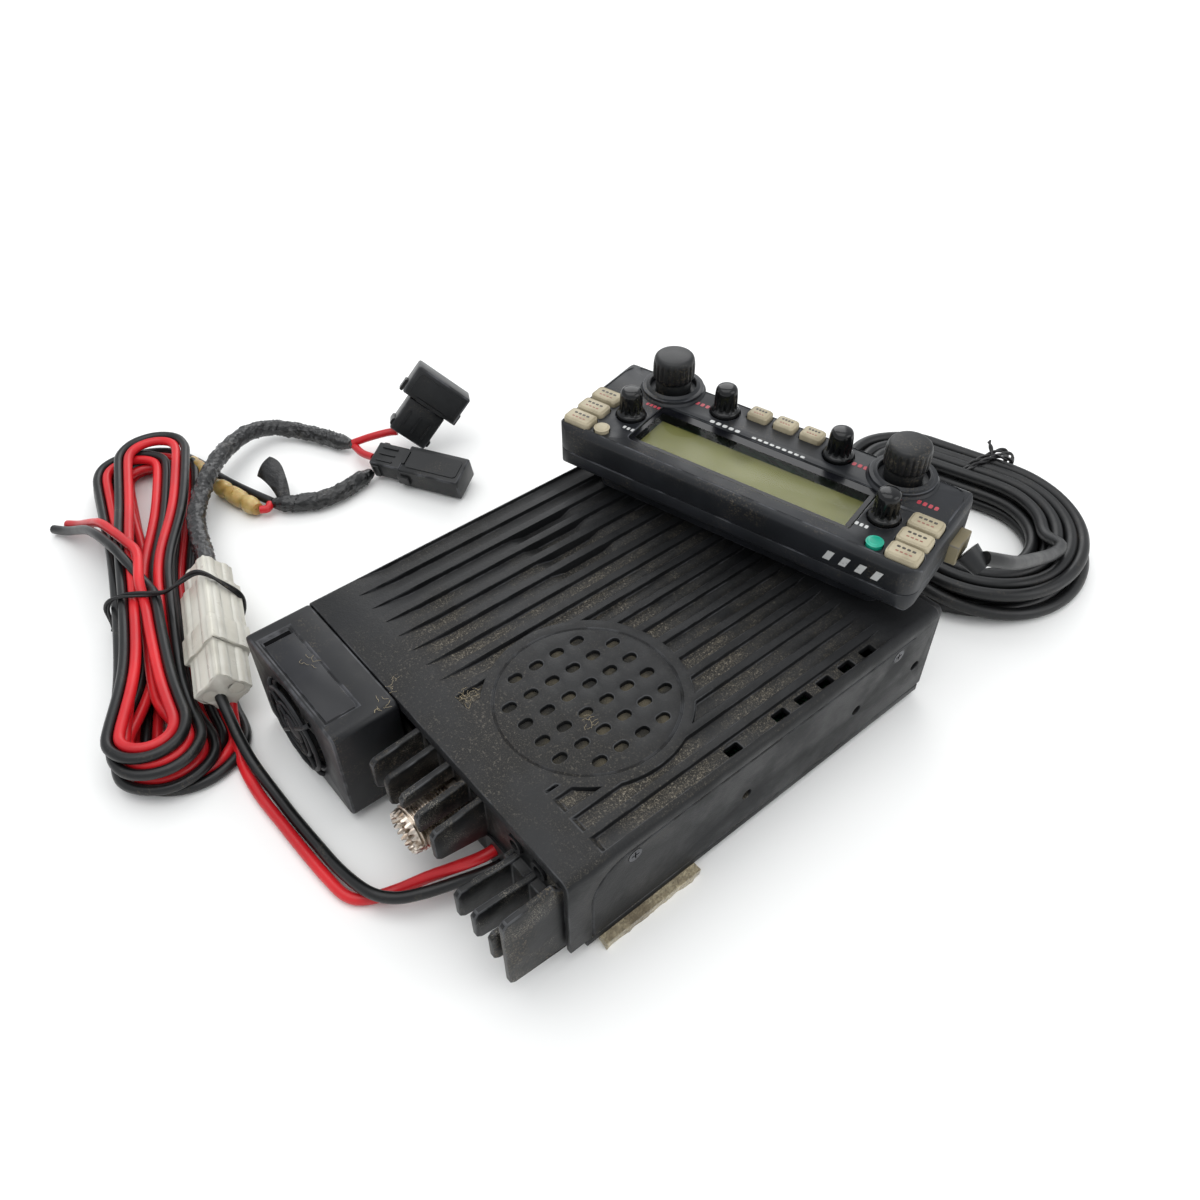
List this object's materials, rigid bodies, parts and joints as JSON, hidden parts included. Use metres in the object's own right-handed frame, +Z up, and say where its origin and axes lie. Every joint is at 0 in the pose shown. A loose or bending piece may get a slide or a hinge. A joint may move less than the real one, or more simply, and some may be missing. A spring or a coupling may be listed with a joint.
{
  "type": "mobile transceiver",
  "caption": "Mobile radio transceiver with grooved finned main unit, detached control head lying on it, fused red and black supply lead, coiled control cable",
  "frame": {"origin": "centre of the underside of the middle grip pad, on the surface that the main unit lies on", "axes": "+Z up, +Y towards the rear of the main unit with its fins and fan, +X towards the fan side"},
  "size_m": [0.3279, 0.362, 0.085],
  "materials": {
    "case_black": "textured",
    "sink_black": "satin",
    "shroud_plastic": "fine",
    "label_plate": "smooth",
    "fan_plastic": "smooth",
    "speaker_paper": "felt",
    "board_green": "solder mask",
    "shield_steel": "tinned",
    "connector_nickel": "tarnished",
    "insulator_cream": "smooth",
    "jack_black": "moulded",
    "pad_beige": "hook and loop",
    "screw_steel": "zinc",
    "head_charcoal": "fine",
    "lens_clear": "clear",
    "display_olive": "segment film",
    "dial_black": "ribbed",
    "knob_black": "fluted",
    "key_cream": "smooth",
    "button_teal": "smooth",
    "plug_beige": "translucent",
    "cable_black": "satin",
    "tie_black": "smooth",
    "wire_red": "glossy",
    "wire_black": "glossy",
    "nylon_white": "translucent",
    "tape_black": "wrapped",
    "sleeve_amber": "translucent",
    "fuse_amber": "clear"
  },
  "bodies": {
    "root": {"chassis": "case_black", "top_cover": "case_black", "heat_sink": "sink_black", "front_panel": "shroud_plastic", "fan_shroud": "shroud_plastic", "shroud_label": "label_plate", "fan_frame": "fan_plastic", "fan_guard": "shroud_plastic", "speaker": "speaker_paper", "main_board": "board_green", "rf_shield": "shield_steel", "antenna_shell": "connector_nickel", "antenna_insulator": "insulator_cream", "speaker_jacks": "jack_black", "front_jacks": "jack_black", "power_grommet": "jack_black", "grip_pads": "pad_beige", "cover_screws": "screw_steel", "head_bezel": "head_charcoal", "head_back": "head_charcoal", "display_lens": "lens_clear", "display_panel": "display_olive", "head_board": "board_green", "control_pots": "shield_steel", "control_plugs": "plug_beige", "plug_boots": "jack_black", "control_cable": "cable_black", "control_coil": "cable_black", "coil_tie": "tie_black", "pigtail_red": "wire_red", "pigtail_black": "wire_black", "connector_socket": "nylon_white", "connector_plug": "nylon_white", "taped_lead_a": "tape_black", "taped_lead_b": "tape_black", "fuse_holders": "sink_black", "fuse_caps": "jack_black", "blade_fuses": "fuse_amber", "splice_sleeves": "sleeve_amber", "power_hank": "wire_red", "hank_tie": "tie_black", "lead_ends": "wire_red"},
    "fan_rotor_body": {"fan_rotor": "fan_plastic"},
    "left_dial_body": {"left_dial": "dial_black"},
    "right_dial_body": {"right_dial": "dial_black"},
    "left_volume_knob_body": {"left_volume_knob": "knob_black"},
    "right_volume_knob_body": {"right_volume_knob": "knob_black"},
    "left_squelch_knob_body": {"left_squelch_knob": "knob_black"},
    "right_squelch_knob_body": {"right_squelch_knob": "knob_black"},
    "left_key_1_body": {"left_key_1": "key_cream"},
    "left_key_2_body": {"left_key_2": "key_cream"},
    "left_key_3_body": {"left_key_3": "key_cream"},
    "right_key_1_body": {"right_key_1": "key_cream"},
    "right_key_2_body": {"right_key_2": "key_cream"},
    "right_key_3_body": {"right_key_3": "key_cream"},
    "lower_key_1_body": {"lower_key_1": "key_cream"},
    "lower_key_2_body": {"lower_key_2": "key_cream"},
    "lower_key_3_body": {"lower_key_3": "key_cream"},
    "power_button_body": {"power_button": "button_teal"},
    "set_button_body": {"set_button": "key_cream"}
  },
  "joints": [
    {"name": "fan_spin", "type": "hinge", "parent": "root", "child": "fan_rotor_body", "pos_m": [0.04115, 0.094, 0.0226], "axis": [0, 1, 0], "continuous": true},
    {"name": "left_dial_turn", "type": "hinge", "parent": "root", "child": "left_dial_body", "pos_m": [-0.03523, -0.09421, 0.07], "axis": [0, 0, 1], "continuous": true},
    {"name": "right_dial_turn", "type": "hinge", "parent": "root", "child": "right_dial_body", "pos_m": [0.05388, -0.07133, 0.07], "axis": [0, 0, 1], "continuous": true},
    {"name": "left_volume_turn", "type": "hinge", "parent": "root", "child": "left_volume_knob_body", "pos_m": [-0.04431, -0.07331, 0.07], "axis": [0, 0, 1], "range_deg": [-150, 150]},
    {"name": "left_squelch_turn", "type": "hinge", "parent": "root", "child": "left_squelch_knob_body", "pos_m": [-0.01296, -0.08725, 0.07], "axis": [0, 0, 1], "range_deg": [-150, 150]},
    {"name": "right_volume_turn", "type": "hinge", "parent": "root", "child": "right_volume_knob_body", "pos_m": [0.05177, -0.04864, 0.07], "axis": [0, 0, 1], "range_deg": [-150, 150]},
    {"name": "right_squelch_turn", "type": "hinge", "parent": "root", "child": "right_squelch_knob_body", "pos_m": [0.03102, -0.07596, 0.07], "axis": [0, 0, 1], "range_deg": [-150, 150]},
    {"name": "left_key_1_press", "type": "slide", "parent": "root", "child": "left_key_1_body", "axis": [0, 0, -1], "range_m": [0, 0.0006], "stiffness_N_per_m": 400, "springref_m": -0.0006},
    {"name": "left_key_2_press", "type": "slide", "parent": "root", "child": "left_key_2_body", "axis": [0, 0, -1], "range_m": [0, 0.0006], "stiffness_N_per_m": 400, "springref_m": -0.0006},
    {"name": "left_key_3_press", "type": "slide", "parent": "root", "child": "left_key_3_body", "axis": [0, 0, -1], "range_m": [0, 0.0006], "stiffness_N_per_m": 400, "springref_m": -0.0006},
    {"name": "right_key_1_press", "type": "slide", "parent": "root", "child": "right_key_1_body", "axis": [0, 0, -1], "range_m": [0, 0.0006], "stiffness_N_per_m": 400, "springref_m": -0.0006},
    {"name": "right_key_2_press", "type": "slide", "parent": "root", "child": "right_key_2_body", "axis": [0, 0, -1], "range_m": [0, 0.0006], "stiffness_N_per_m": 400, "springref_m": -0.0006},
    {"name": "right_key_3_press", "type": "slide", "parent": "root", "child": "right_key_3_body", "axis": [0, 0, -1], "range_m": [0, 0.0006], "stiffness_N_per_m": 400, "springref_m": -0.0006},
    {"name": "lower_key_1_press", "type": "slide", "parent": "root", "child": "lower_key_1_body", "axis": [0, 0, -1], "range_m": [0, 0.0006], "stiffness_N_per_m": 400, "springref_m": -0.0006},
    {"name": "lower_key_2_press", "type": "slide", "parent": "root", "child": "lower_key_2_body", "axis": [0, 0, -1], "range_m": [0, 0.0006], "stiffness_N_per_m": 400, "springref_m": -0.0006},
    {"name": "lower_key_3_press", "type": "slide", "parent": "root", "child": "lower_key_3_body", "axis": [0, 0, -1], "range_m": [0, 0.0006], "stiffness_N_per_m": 400, "springref_m": -0.0006},
    {"name": "power_button_press", "type": "slide", "parent": "root", "child": "power_button_body", "axis": [0, 0, -1], "range_m": [0, 0.0006], "stiffness_N_per_m": 400, "springref_m": -0.0006},
    {"name": "set_button_press", "type": "slide", "parent": "root", "child": "set_button_body", "axis": [0, 0, -1], "range_m": [0, 0.0006], "stiffness_N_per_m": 400, "springref_m": -0.0006}
  ]
}
